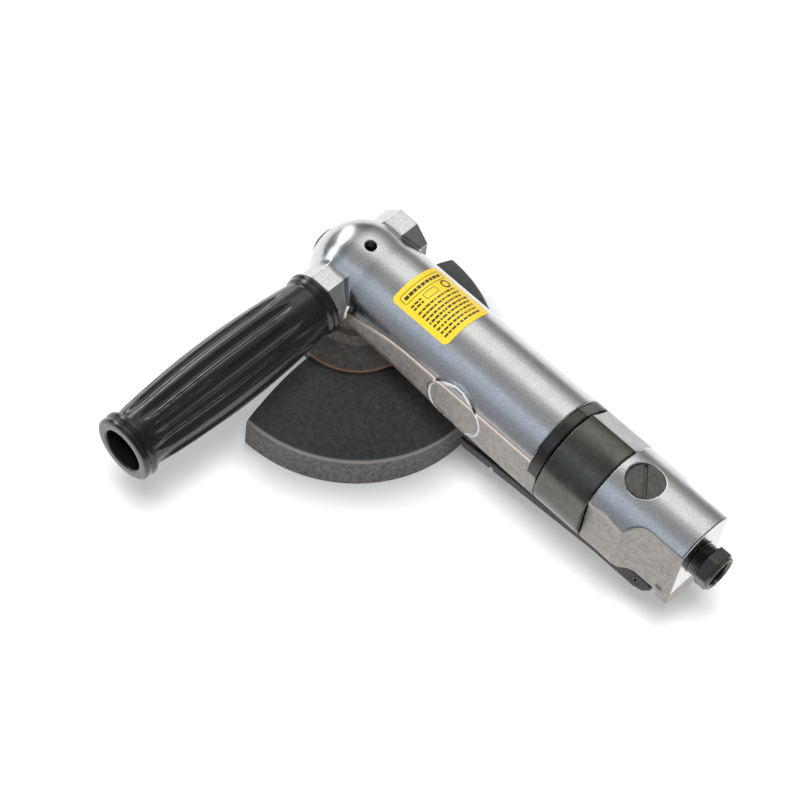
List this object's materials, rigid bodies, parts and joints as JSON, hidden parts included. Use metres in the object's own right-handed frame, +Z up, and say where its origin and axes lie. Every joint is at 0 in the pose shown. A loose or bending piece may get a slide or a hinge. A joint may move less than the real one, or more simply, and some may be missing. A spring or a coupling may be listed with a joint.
{
  "type": "air angle grinder",
  "caption": "Air-powered angle grinder: cast angle head, threaded spindle, half wheel guard, side handle and a squeeze lever with a latch.",
  "frame": {"origin": "where the spindle axis crosses the barrel axis", "axes": "+X from the head along the barrel to the air inlet, +Z up along the spindle away from the wheel, -Y along the side handle"},
  "size_m": [0.2487, 0.2171, 0.097],
  "materials": {
    "cast_aluminium": "satin cast and machined",
    "yellow_label": "printed film",
    "dark_steel": "blackened, worn on the edges",
    "black_paint": "satin black",
    "bright_steel": "machined",
    "black_plastic": "gloss black",
    "gear_steel": "hardened",
    "cast_iron": "ground",
    "vane_resin": "laminated resin",
    "rubber": "matt",
    "brass": "turned",
    "lever_steel": "dark grey, rubbed"
  },
  "bodies": {
    "tool": {"angle_housing": "cast_aluminium", "front_plug": "dark_steel", "name_label": "yellow_label", "bearing_cap": "black_paint", "guard_retainer": "dark_steel", "guard_screws": "bright_steel", "handle_stud": "bright_steel", "side_handle": "black_plastic", "spindle_upper_bearing": "bright_steel", "spindle_lower_bearing": "bright_steel", "spindle_seal": "rubber", "front_rotor_bearing": "bright_steel", "front_end_plate": "cast_iron", "cylinder_liner": "cast_iron", "liner_pin": "bright_steel", "rear_end_plate": "cast_iron", "rear_rotor_bearing": "bright_steel", "clamp_ring": "dark_steel", "motor_sleeve": "dark_steel", "valve_housing": "cast_aluminium", "valve_plug": "bright_steel", "plug_seal": "rubber", "valve_spring": "bright_steel", "valve_seat": "brass", "stem_bush": "brass", "inlet_bushing": "dark_steel", "inlet_screen": "brass", "lever_pivot_pin": "dark_steel"},
    "guard": {"wheel_guard": "black_paint"},
    "rotor_line": {"rotor": "gear_steel", "vanes": "vane_resin", "pinion": "gear_steel"},
    "spindle_line": {"spindle": "bright_steel", "ring_gear": "gear_steel", "gear_key": "gear_steel", "inner_flange": "dark_steel", "flange_nut": "dark_steel"},
    "lever": {"throttle_lever": "lever_steel", "latch_pin": "dark_steel", "latch_spring": "bright_steel"},
    "latch": {"safety_latch": "lever_steel"},
    "stem": {"valve_stem": "bright_steel", "throttle_valve": "brass"}
  },
  "joints": [
    {"name": "guard_swivel", "type": "hinge", "parent": "tool", "child": "guard", "pos_m": [0, 0, -0.0395], "axis": [0, 0, 1], "range_deg": [-90, 90]},
    {"name": "rotor_spin", "type": "hinge", "parent": "tool", "child": "rotor_line", "pos_m": [0.05, 0, 0], "axis": [1, 0, 0], "continuous": true},
    {"name": "spindle_spin", "type": "hinge", "parent": "tool", "child": "spindle_line", "pos_m": [0, 0, -0.03], "axis": [0, 0, 1], "continuous": true},
    {"name": "lever_squeeze", "type": "hinge", "parent": "tool", "child": "lever", "pos_m": [0.1867, 0, -0.0255], "axis": [0, 1, 0], "range_deg": [0, 5.5], "stiffness_Nm_per_rad": 2, "springref_deg": -3.44},
    {"name": "latch_turn", "type": "hinge", "parent": "lever", "child": "latch", "pos_m": [0.1007, 0, -0.0359], "axis": [0, 1, 0], "range_deg": [-35, 0], "stiffness_Nm_per_rad": 0.02, "springref_deg": 17.19},
    {"name": "valve_lift", "type": "slide", "parent": "tool", "child": "stem", "axis": [0, 0, 1], "range_m": [0, 0.00165], "deforming": ["valve_spring"]}
  ],
  "couplings": [
    {"joint": "spindle_spin", "follows": "rotor_spin", "ratio": 0.6},
    {"joint": "valve_lift", "follows": "lever_squeeze", "m_per_rad": 0.0167}
  ]
}
